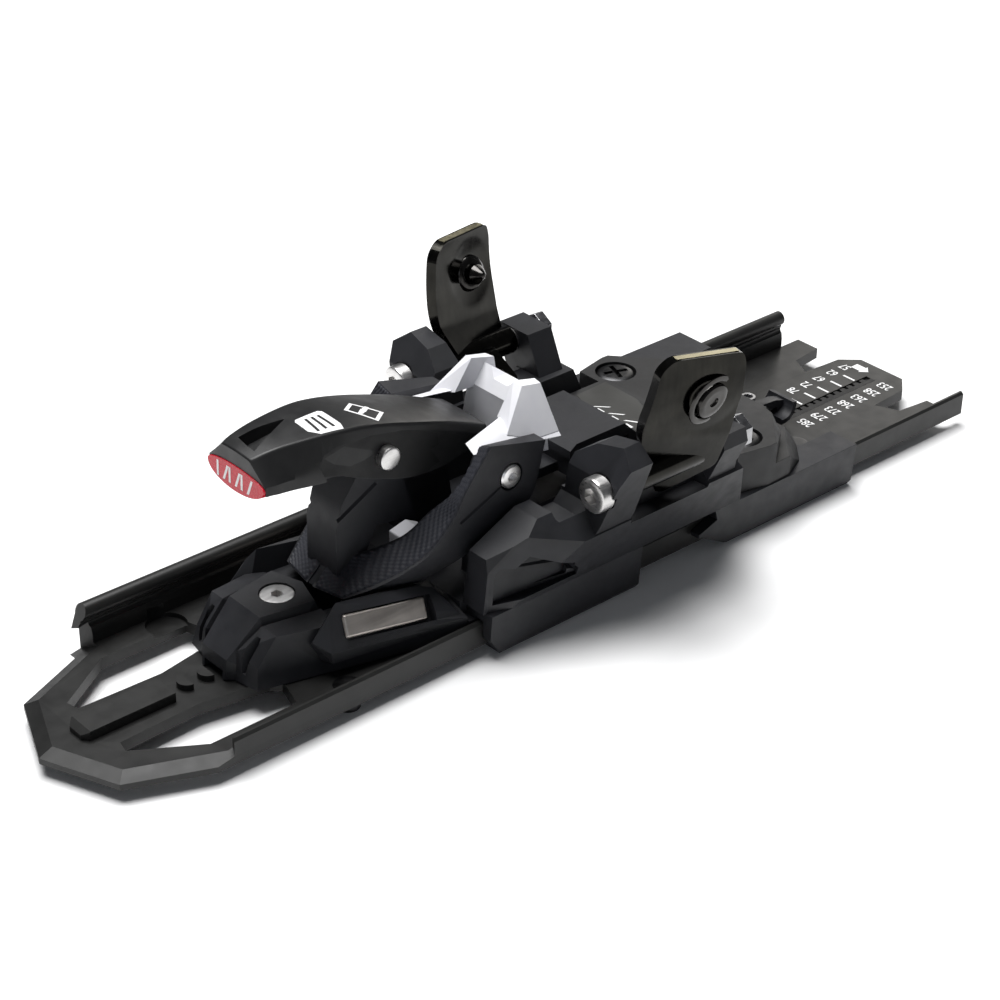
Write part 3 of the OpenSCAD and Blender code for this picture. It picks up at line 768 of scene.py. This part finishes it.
POST_HALF = 5.4             # half width of the yoke's post
WEAVE_ACROSS = 22           # steps of the grip's weave across an arm
WEAVE_LIFTS = (0.26, 0.5)   # the weave's low and high squares
WEAVE_EDGE = -0.25          # the grip's border sinks into the arm
ARM = (                     # corners of the near arm's cross-sections, from the foot up
    ((-15, -10.6, 12.8), (-4, -12, 10), (-4, -2, 10), (-16.5, -1, 12.2)),
    ((-9, -14, 14.8), (4, -15.5, 12.5), (2, -4, 13), (-12, -1, 16.8)),
    ((-2.6, -17.1, 17.8), (13, -19, 16.6), (10, -12.5, 17), (-4.5, -6.8, 20)),
    ((3, -20, 22.4), (19.1, -20, 19.4), (17, -16.2, 19), (2.7, -10.5, 22.8)),
    ((9, -20.6, 28.5), (24.6, -20.4, 22.6), (24, -16.2, 22.6), (8.7, -12.5, 27.6)),
    ((13, -20.6, 35), (32.9, -20.5, 26.2), (32.9, -16.2, 26.2), (14, -16.1, 33.5)),
    ((20.5, -20.4, 43.8), (37.2, -20.2, 39.4), (37.2, -16.2, 39.4), (21, -16.2, 42)),
)


def arm_rails(steps=8):
    """The four long edges of the near yoke arm, as smooth curves."""
    return [curve_through([section[k] for section in ARM], steps) for k in range(4)]


def build_yoke():
    """Two curved arms, a front bar, a sloping post and the eye for the lever's pin."""
    def arm():
        return skin(list(zip(*arm_rails())))

    def crease():
        outer, inner = -1.02 * POST_HALF, -0.86 * POST_HALF
        return hull([(-13, outer, 30.2), (-0.6, outer, 36.6), (-0.6, outer, 35.2),
                     (-13, outer, 28.8), (-12.6, inner, 29.6), (-1, inner, 35.8)])

    def well():
        place = shift(PIVOT_X, -20.7, PIVOT_Z) @ spin(-90, "X")
        return moved(turned([(0, -1), (3.5, -1), (3.5, 2.1), (0, 2.1)]), place)

    def groove():
        return hull([(10.4, -21, 27.6), (24.8, -21, 33.4), (24.8, -21, 32.2), (11.6, -21, 26.4),
                     (11.4, -20, 27.2), (23.6, -20, 32.4)])

    bar = prism([(-16.2, 12.2), (-4, 10), (-4, 14.6), (-12, 16.8)], "y", -3, 3)
    post = [(-12.8, 14), (-12.8, 27), (-11, 33.5), (-6, 40), (-4.6, 45.4), (2.6, 44), (6, 37),
            (10.4, 22.4), (-1, 24.6), (-5, 17), (-8, 12)]
    eye = prism(circle(4.6, 32), "y", -7.6, 7.6)
    body = union(*halves(arm), bar, prism(post, "y", -POST_HALF, POST_HALF),
                 moved(eye, shift(*LEVER_PIN)))
    cut(body, *halves(crease), *halves(well), *halves(groove))
    rounded(body, 0.5, 3, 30)
    piece("yoke_body", body, "yoke", "moulded_plastic", replaces=["yoke_frame"])
    grip = thickened(joined(halves(grip_half)), 0.3, -1)
    piece("yoke_grip", grip, "yoke", "moulded_plastic", "grip_rubber", smooth=60)
    piece("yoke_insert_body", insert(), "yoke", "white_plastic", replaces=["yoke_insert"])


def grip_half():
    """Raised woven-looking surface over the front face of the near arm."""
    rails = arm_rails(26)
    last = len(rails[0]) - 1
    bm = bmesh.new()
    grid = []
    for i, (outer, inner) in enumerate(zip(rails[0], rails[3])):
        along = rails[0][min(i + 1, last)] - rails[0][max(i - 1, 0)]
        normal = (inner - outer).cross(along).normalized()
        if normal.x > 0:
            normal = -normal
        row = []
        for j in range(WEAVE_ACROSS + 1):
            lift = WEAVE_LIFTS[(i // 3 + (j // 2) % 2) % 2]
            if j in (0, WEAVE_ACROSS) or i in (0, last):
                lift = WEAVE_EDGE
            base = outer.lerp(inner, 0.05 + 0.9 * j / WEAVE_ACROSS)
            row.append(bm.verts.new(base + normal * lift))
        grid.append(row)
    for upper, lower in zip(grid, grid[1:]):
        for a, b, c, d in zip(upper, upper[1:], lower[1:], lower):
            bm.faces.new((a, b, c, d))
    bmesh.ops.recalc_face_normals(bm, faces=bm.faces)
    return object_from(bm)


def insert():
    """White saddle: two faceted lobes that rise from a web between the arms."""
    def lobe():
        wing = hull([(33.4, -8.5, 41.8), (46, -8.5, 41.8), (46.3, -13, 38), (46.2, -15.9, 35.4),
                     (38, -15.9, 36.6), (19, -15.9, 40.2), (19.4, -12.6, 41.6),
                     (28, -15.9, 38.8)])
        tower = hull([(38.4, -7.4, 49.2), (45.3, -7.2, 47.4), (44.8, -9.8, 47.4),
                      (38.8, -10.0, 48.7), (46.2, -15.0, 36.4), (46.3, -7, 41),
                      (33.4, -7.6, 41.6), (31.0, -13.8, 40.2), (38, -15.6, 37.4)])
        return union(wing, tower)

    saddle = hull(mirrored([(42.4, 9, 46.9), (46.4, 9.5, 43.8), (39.2, 9.6, 42), (45.9, 12, 30),
                            (39.4, 12, 31)]))
    cut(saddle, hull(mirrored([(36, 6, 48), (50, 6, 48), (36, 2.4, 44.8), (50, 2.4, 44.8)])))
    heel = prism([(44, 22.4), (49.4, 21.4), (49.6, 24), (46, 31), (41, 32)], "y", -5.4, 5.4)
    return rounded(union(*halves(lobe), saddle, heel), 0.35, 3, 22)


# ----------------------------------------------------------------------- lever

LEVER_TOP = ((-35.3, 53.9), (-34.5, 54.4), (-31, 55.1), (-25.8, 55.5), (-16, 55.3), (-8, 54.3),
             (0, 52.3), (8, 49.7), (16, 46.9), (24, 43.6), (29.6, 41.2))
LEVER_LOW = ((-35.0, 47.3), (-33, 47.2), (-28, 46.6), (-21, 45.4), (-15.5, 44.8), (-8, 41.4),
             (-2, 39.0), (4, 37.0), (10, 36.0), (18, 36.2), (28.8, 38.2))
LEVER_PROFILE = ((1.0, 0.0), (1.0, 0.3), (0.96, 0.5), (0.83, 0.93), (0.815, 0.965),
                 (0.785, 0.99), (0.74, 1.0), (0.40, 1.024), (0.12, 1.032))


NECK_X = -12.0          # the sides start to lean inwards here, going forwards
NECK_LENGTH = 23.0
NECK_PINCH = 0.40
RAY_NUDGE = 0.0013      # keeps a ray off the edges of the mesh, mm


def lever_half(x):
    """Half width of the lever's foot at X."""
    return 10.9 - 0.3 * max(0.0, -34 - x) - 0.06 * max(0.0, x - 8)


def lever_section(top, low):
    """Trapezium with leaning sides and a crowned top, between two points of the side view."""
    half = lever_half(top.x)
    pinch = NECK_PINCH * min(1.0, max(0.0, (NECK_X - top.x) / NECK_LENGTH)) ** 1.3

    def at(side, share, rise):
        lean = 1 - pinch * max(0.0, rise - 0.25) / 0.75
        return (low.x + (top.x - low.x) * rise, side * half * share * lean,
                low.z + (top.z - low.z) * rise)

    right = [at(1, share, rise) for share, rise in LEVER_PROFILE]
    left = [at(-1, share, rise) for share, rise in LEVER_PROFILE[::-1]]
    return right + left


RECESS = [(-19.4, 46.2), (-20.7, 49.2), (-18.8, 51.2), (-14.9, 52.0), (-5.5, 51.3),
          (4.1, 49.2), (12, 46.4), (22, 42.0), (30, 38.4), (30, 34), (-6, 34), (-17, 42)]


def build_lever():
    """Hollow lever with sunk flanks, its prints and label, and its pin."""
    tops = curve_through([(x, 0, z) for x, z in LEVER_TOP], 4)
    lows = curve_through([(x, 0, z) for x, z in LEVER_LOW], 4)
    body = skin([lever_section(a, b) for a, b in zip(tops, lows)])
    walls = surface_of(body)
    hollow = [(-27, 43), (-27, 50.4), (-16, 52.4), (-6, 51.0), (3, 48.8), (13, 44.8),
              (22, 41.2), (32, 37.4), (32, 30), (-6, 30)]
    finger = hull([(-33.2, -3.8, 60), (-32.8, 4.0, 60), (-18.6, 3.6, 60), (-18.6, 2.6, 60),
                   (-32.8, -3.7, 52.3), (-31.8, 2.8, 52.3), (-21.0, 2.1, 54.2)])
    recesses = [side_solid(walls, RECESS, side, 0.9, 3) for side in (-1, 1)]
    cut(body, prism(hollow, "y", -7.9, 7.9), *recesses, finger)
    rounded(body, 0.35, 3, 30)
    top = surface_of(body)
    piece("lever_body", body, "lever", "lever_plastic", replaces=["lever_shell"], smooth=40)
    build_badges(top)
    build_end_label()
    # Dark sheets just above the recess floors: painted shade in the sunk flanks.
    floor_line = [(x, z + 0.35) for x, z in LEVER_LOW if -17 < x < 29][::-1]
    shades = [side_solid(walls, RECESS[:9] + floor_line, side, 0.92, -0.84) for side in (-1, 1)]
    piece("lever_recess_painted_shade", joined(shades), "lever", "lever_plastic", "darkest_plastic_and_painted_shade")
    pin = turned([(0, -11.25), (2.3, -11.25), (2.75, -10.95), (2.8, -10.6), (2.8, 10.6),
                  (2.75, 10.95), (2.3, 11.25), (0, 11.25)])
    moved(pin, shift(*LEVER_PIN) @ spin(90, "X"))
    piece("lever_pin_body", pin, "yoke", "bright_screw", replaces=["lever_pin"])


def decal(target, outline, lift=0.06):
    """Thin print laid onto the top of a mesh, straight down from an outline in X and Y."""
    bm = bmesh.new()
    face = bm.faces.new([bm.verts.new((x, y, 0)) for x, y in outline])
    bmesh.ops.triangulate(bm, faces=[face])
    bmesh.ops.subdivide_edges(bm, edges=bm.edges, cuts=4, use_grid_fill=True)
    for v in bm.verts:
        start = Vector((v.co.x + RAY_NUDGE, v.co.y + RAY_NUDGE, 200))
        hit = target.ray_cast(start, Vector((0, 0, -1)))[0]
        v.co.z = hit.z + lift
    bmesh.ops.recalc_face_normals(bm, faces=bm.faces)
    for f in bm.faces:
        if f.normal.z < 0:
            f.normal_flip()
    return object_from(bm)


def build_badges(top):
    """Plain shield and diamond outline with strokes inside, printed on top of the lever."""
    shield = [(-19.4, -0.4), (-18.8, 0.4), (-12.0, 1.2), (-11.2, 0.6), (-11.2, -6.0),
              (-12.0, -8.2), (-17.8, -7.6), (-19.6, -5.2)]
    outer = [(-2.2, 2.4), (2.8, -3.8), (-1.8, -7.6), (-6.2, -0.8)]
    centre = Vector((-1.85, -2.45))
    inner = [tuple(centre + 0.78 * (Vector(p) - centre)) for p in outer]
    stroke = [(-3.4, -2.8), (-2.8, -3.6), (-0.1, -1.4), (-0.7, -0.6)]
    outlines = [shield]
    for k, n in ((0, 1), (1, 2), (2, 3), (3, 0)):
        outlines.append([outer[k], outer[n], inner[n], inner[k]])
    for offset in (-1.5, 0.0, 1.5):
        outlines.append([(x + offset * 0.7, y + offset * 0.4) for x, y in stroke])
    marks = [decal(top, outline) for outline in outlines]
    piece("lever_badge_print", joined(marks), "lever", "lever_plastic", "white_ink")

    strokes = []
    for k in range(3):
        foot, head = -17.8 + 2.1 * k, -17.1 + 1.7 * k
        outline = [(foot, -6.4), (foot + 0.7, -6.4), (head + 0.7, -0.6), (head, -0.6)]
        strokes.append(decal(top, outline, 0.12))
    piece("lever_badge_strokes", joined(strokes), "lever", "lever_plastic", "darkest_plastic_and_painted_shade")


def build_end_label():
    """Red lens-shaped label on the lip of the front end, with plain slanted strokes."""
    face = frame_from((-35.1, 0, 48.4), (0, -1, 0), (0.5, 0, 4.0))
    half, upper, lower = 10.3, 2.0, 3.9
    count = 24
    top_arc = [(half * math.cos(math.pi * k / count), upper * math.sin(math.pi * k / count))
               for k in range(count + 1)]
    low_arc = [(-half * math.cos(math.pi * k / count), -lower * math.sin(math.pi * k / count))
               for k in range(1, count)]
    lens = rounded(prism(top_arc + low_arc, "z", -3.0, 0.5), 0.4)
    piece("lever_end_label", moved(lens, face), "lever", "red_label",
          replaces=["lever_end_badge"])
    strokes = []
    for k in range(6):
        x = -6.4 + 2.2 * k
        lean = 1.0 if k % 2 else -0.5
        stroke = [(x, -2.6), (x + 0.7, -2.6), (x + 0.7 + lean, 0.9), (x + lean, 0.9)]
        strokes.append(moved(prism(stroke, "z", 0.46, 0.56), face))
    piece("lever_end_strokes", joined(strokes), "lever", "red_label", "white_ink")


# ------------------------------------------------------------------------ jaws

JAW_OUTLINE = ((50.9, 41.6), (60.6, 22.4), (62.6, 21.9), (75.2, 28.4), (75.4, 40.0),
               (75.2, 58.4), (74.0, 61.6), (55.6, 62.0), (52.4, 59.4), (50.6, 46.0))
PIN_X, PIN_Z = 66.4, 51.1
SHEET_Y = 36.0                  # boot-side face of the sheet
SHEET_T = 2.9
SHEET_YAW = turn_about(Vector((PIN_X, 37.4, 0)), 15, "Z")
DISH_DEPTH, DISH_REACH = 0.55, 9.0
FOLD_START = (52.7, 41.6)       # the sheet turns inwards below a line from this point
FOLD_SLOPE = -0.1
FOLD_TURN = 0.1105
CURL_Z, CURL = 47.0, 0.0085     # the sheet curls inwards above this height


def rounded_outline(points, radius, steps=5):
    """Outline with each corner replaced by a short arc."""
    out = []
    count = len(points)
    for k in range(count):
        before, here, after = (Vector(points[(k + d) % count]) for d in (-1, 0, 1))
        a, b = before - here, after - here
        reach = min(radius, 0.42 * a.length, 0.42 * b.length)
        p, q = here + a.normalized() * reach, here + b.normalized() * reach
        for s in range(steps + 1):
            t = s / steps
            out.append((1 - t) ** 2 * p + 2 * t * (1 - t) * here + t * t * q)
    return [(v.x, v.y) for v in out]


def jaw_bend(co):
    """Shapes the flat sheet: a shallow dish round the pin, a turned-in foot and a curled top."""
    x, y, z = co
    reach = math.hypot(x - PIN_X, z - PIN_Z)
    dish = DISH_DEPTH * max(0.0, 1 - (reach / DISH_REACH) ** 2)
    fold_z = FOLD_START[1] + FOLD_SLOPE * (x - FOLD_START[0])
    inward = FOLD_TURN * max(0.0, fold_z - z)
    curl = CURL * max(0.0, z - CURL_Z) ** 2
    return Vector((x, y + dish - inward - curl, z))


def sliced(bm, axis, start, stop, step=0.8):
    """Cuts a mesh along evenly spaced planes across an axis."""
    normal = Vector((0, 0, 0))
    normal[axis] = 1
    place = start
    while place < stop:
        bmesh.ops.bisect_plane(bm, geom=bm.verts[:] + bm.edges[:] + bm.faces[:],
                               plane_co=normal * place, plane_no=normal)
        place += step


def jaw_sheet():
    """Curved steel sheet of the far jaw, closed."""
    bm = bmesh.new()
    bm.faces.new([bm.verts.new((x, SHEET_Y, z)) for x, z in rounded_outline(JAW_OUTLINE, 2.0)])
    sliced(bm, 0, 48.0, 76.0)
    sliced(bm, 2, 20.0, 64.0)
    bmesh.ops.remove_doubles(bm, verts=bm.verts, dist=0.05)
    for v in bm.verts:
        v.co = jaw_bend(v.co)
    bmesh.ops.recalc_face_normals(bm, faces=bm.faces)
    if sum(f.normal.y for f in bm.faces) < 0:
        bmesh.ops.reverse_faces(bm, faces=bm.faces)
    sheet = thickened(object_from(bm), SHEET_T, 1, even=True)
    return moved(bevelled(sheet, 0.8, 4, 50), SHEET_YAW)


def jaw_hub():
    """Sleeve on the axle and the arm that reaches in under the toggle."""
    bore = 3.05
    sleeve = turned([(bore, 50.6), (3.4, 50.6), (3.7, 50.9), (3.7, 75.1), (3.4, 75.4),
                     (bore, 75.4), (bore, 50.6)])
    moved(sleeve, Matrix.Translation(JAW_AXLE) @ spin(90, "Y"))
    arm = prism([(35, 27), (34, 32.6), (30.2, 32.4), (29, 32), (22.4, 26), (20.2, 13),
                 (15.6, 12.6), (15.6, 8.2), (23.6, 8.2), (26.2, 22.6)], "x", 57, 66)
    toe = prism(circle(2.2, 24, (15.6, 10.4)), "x", 57, 66)
    cut(arm, prism(circle(3.6, 24, (JAW_AXLE.y, JAW_AXLE.z)), "x", 50, 76))
    rounded(union(arm, toe), 0.7)
    return joined([sleeve, arm])


def jaw_pin():
    """Collar, shank and cone of the boot pin, with the riveted disc at the back."""
    tip = 30.05
    pin = turned([(0, tip), (0.7, tip + 0.15), (1.2, tip + 0.7), (2.5, tip + 2.6),
                  (2.6, tip + 3.0), (2.6, tip + 4.7), (3.0, tip + 4.9), (3.9, tip + 4.95),
                  (4.4, tip + 5.3), (4.7, tip + 5.9), (4.7, tip + 8.6), (4.7, tip + 9.4),
                  (4.4, tip + 10.1), (3.6, tip + 10.4), (2.8, tip + 10.3), (1.3, tip + 10.35),
                  (1.1, tip + 9.9), (0, tip + 9.8)], 56)
    ring = turned([(5.2, 0.0), (6.8, 0.0), (6.7, 0.2), (6.2, 0.42), (5.5, 0.4), (5.2, 0.2),
                   (5.2, 0.0)], 56)
    moved(ring, shift(0, 0, 39.2))
    return moved(joined([pin, ring]), shift(PIN_X, 0, PIN_Z) @ spin(-90, "X"))


def jaw_edge():
    """Bare, brighter metal along the ground top edge of the sheet."""
    strip = hull([(x, y, top + rise + dip) for x, top in ((56.4, 61.98), (73.0, 61.62))
                  for y, rise in ((34.7, 0.22), (36.4, 0.66)) for dip in (-0.5, 0.04)])
    return moved(strip, SHEET_YAW)


def build_jaws():
    for side, near in (("near", True), ("far", False)):
        body = f"jaw_{side}"
        piece(f"{side}_jaw_edge", opened(jaw_edge(), near), body, "jaw_steel", "jaw_edge")
        sheet = opened(joined([jaw_sheet(), jaw_hub()]), near)
        piece(f"{side}_jaw_body", sheet, body, "jaw_steel", replaces=[f"{side}_jaw"], smooth=50)
        piece(f"{side}_jaw_pin_body", opened(jaw_pin(), near), body, "pin_steel",
              replaces=[f"{side}_jaw_pin"], smooth=30)


# --------------------------------------------------------------- toggle, pawl

def coil(radius, wire, low, high, turns, steps=20, sides=8):
    """Compression spring with closed ends, about Z."""
    total = turns * steps
    rings = []
    for k in range(total + 1):
        t = 2 * math.pi * k / steps
        z = low + wire + (high - low - 2 * wire) * k / total
        centre = Vector((radius * math.cos(t), radius * math.sin(t), z))
        out = Vector((math.cos(t), math.sin(t), 0))
        rings.append([centre + wire * (out * math.cos(a) + Vector((0, 0, math.sin(a))))
                      for a in (2 * math.pi * s / sides for s in range(sides))])
    return skin(rings)


def build_toggle():
    rounded_copy("toggle_block_body", "toggle_block", "toggle", "moulded_plastic", 0.4)
    low, high = box_mm("toggle_springs")
    springs = halves(lambda: moved(coil(2.1, 0.45, low.z, high.z, 5), shift(62, -5.6, 0)))
    body = frame["nodes"]["toggle_springs"]["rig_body"]
    piece("toggle_spring_set", joined(springs), body, "spring_steel",
          replaces=["toggle_springs"], smooth=60)


def build_pawl():
    """Sprung pawl: a flat tail, a pointer on the scale and a curved upturned flag."""
    tail = prism([(119.4, 4.6), (119, 8.4), (124, 9.2), (132, 7), (138, 6.6), (141.4, 5.6),
                  (141.4, 0.45), (139.8, 0.45), (138.8, 4.4), (127, 3.9)], "y", -1.4, 1.4)
    side = prism([(119.4, 4.6), (119, 8.4), (124, 9.2), (130.6, 7.4), (136.4, 3.2), (137, 1.3),
                  (135, 1.6), (131, 3.9), (127, 3.9)], "y", -5.4, 5.4)
    rings = []
    for k in range(11):
        t = k / 10
        angle = math.radians(-14 + 98 * t)
        half = 5.2 - 0.7 * t ** 2
        wall = [(138 + r * math.sin(angle), 6.4 - r * math.cos(angle)) for r in (5.2, 3.9)]
        rings.append([(wall[0][0], -half, wall[0][1]), (wall[0][0], half, wall[0][1]),
                      (wall[1][0], half, wall[1][1]), (wall[1][0], -half, wall[1][1])])
    body = rounded(union(side, tail, skin(rings)), 0.3, 2)
    piece("pawl_body", body, "pawl", "moulded_plastic", replaces=["length_pawl"])


# ------------------------------------------------------------- light and camera

CAMERA = {"azimuth": -41.83, "elevation": 30.93, "roll": 0.893, "lens": 87.09}
CAMERA_OFFSET = (31.30, 24.30, 569.2)   # across, up and back from the origin, mm
LIGHTS = (                              # name, place, size, power, colour
    ("key", (0.0, 0.32, 1.42), (1.1, 0.95), 37, (1.0, 1.0, 1.0)),
    ("front_fill", (-0.9, -1.3, 0.55), (1.2, 0.5), 1.8, (0.86, 0.92, 1.0)),
    ("rear_rim", (1.1, 0.7, 0.5), (0.3, 1.0), 2.2, (1.0, 0.97, 0.92)),
)
LIGHT_TARGET = Vector((0, 0, 0.02))
FLOOR_REACH = 3.0
SKY = (0.93, 0.95, 1.0, 1)
SKY_STRENGTH = 0.10


def area_light(name, place, size, power, colour):
    """Rectangular lamp that faces the part."""
    data = bpy.data.lights.new(name, "AREA")
    data.shape = "RECTANGLE"
    data.size, data.size_y = size
    data.energy = power
    data.color = colour
    light = bpy.data.objects.new(name, data)
    light.location = place
    light.rotation_euler = (LIGHT_TARGET - Vector(place)).to_track_quat("-Z", "Y").to_euler()
    SCENE.collection.objects.link(light)


def build_floor():
    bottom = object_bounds()[0][2]
    bm = bmesh.new()
    bm.faces.new([bm.verts.new((x * FLOOR_REACH, y * FLOOR_REACH, bottom))
                  for x, y in ((-1, -1), (1, -1), (1, 1), (-1, 1))])
    floor = object_from(bm)
    floor.name = "floor"
    mat, tree, shader = new_material("floor")
    tree.links.new(ramp(tree, noise(tree, 3, 2), [(0.3, 0.88), (0.7, 0.90)]),
                   shader.inputs["Base Color"])
    shader.inputs["Roughness"].default_value = 0.9
    shader.inputs["Specular IOR Level"].default_value = 0.1
    floor.data.materials.append(mat)


def build_studio():
    for light in LIGHTS:
        area_light(*light)
    world = bpy.data.worlds.new("studio")
    world.use_nodes = True
    background = world.node_tree.nodes["Background"]
    background.inputs["Color"].default_value = SKY
    background.inputs["Strength"].default_value = SKY_STRENGTH
    SCENE.world = world
    SCENE.view_settings.view_transform = "Standard"
    SCENE.view_settings.look = "None"


def build_camera():
    """Camera placed by the angles it looks down from and its distance from the part."""
    azimuth, elevation = (math.radians(CAMERA[k]) for k in ("azimuth", "elevation"))
    back = Vector((math.sin(azimuth) * math.cos(elevation),
                   -math.cos(azimuth) * math.cos(elevation), math.sin(elevation)))
    right = (-back).cross(Vector((0, 0, 1))).normalized()
    up = back.cross(right)
    roll = math.radians(CAMERA["roll"])
    right, up = (math.cos(roll) * right + math.sin(roll) * up,
                 math.cos(roll) * up - math.sin(roll) * right)
    across, rise, distance = CAMERA_OFFSET
    data = bpy.data.cameras.new("camera")
    data.sensor_width = 36
    data.lens = CAMERA["lens"]
    data.clip_start = 0.01
    data.dof.use_dof = False
    camera = bpy.data.objects.new("camera", data)
    place = right * across + up * rise + back * distance
    rotation = Matrix((right, up, back)).transposed().to_4x4()
    camera.matrix_world = Matrix.Translation(TO_PART @ place) @ rotation
    SCENE.collection.objects.link(camera)
    SCENE.camera = camera


build_base()
build_scale()
build_carriage()
build_yoke()
build_lever()
build_jaws()
build_toggle()
build_pawl()
build_floor()
build_studio()
build_camera()
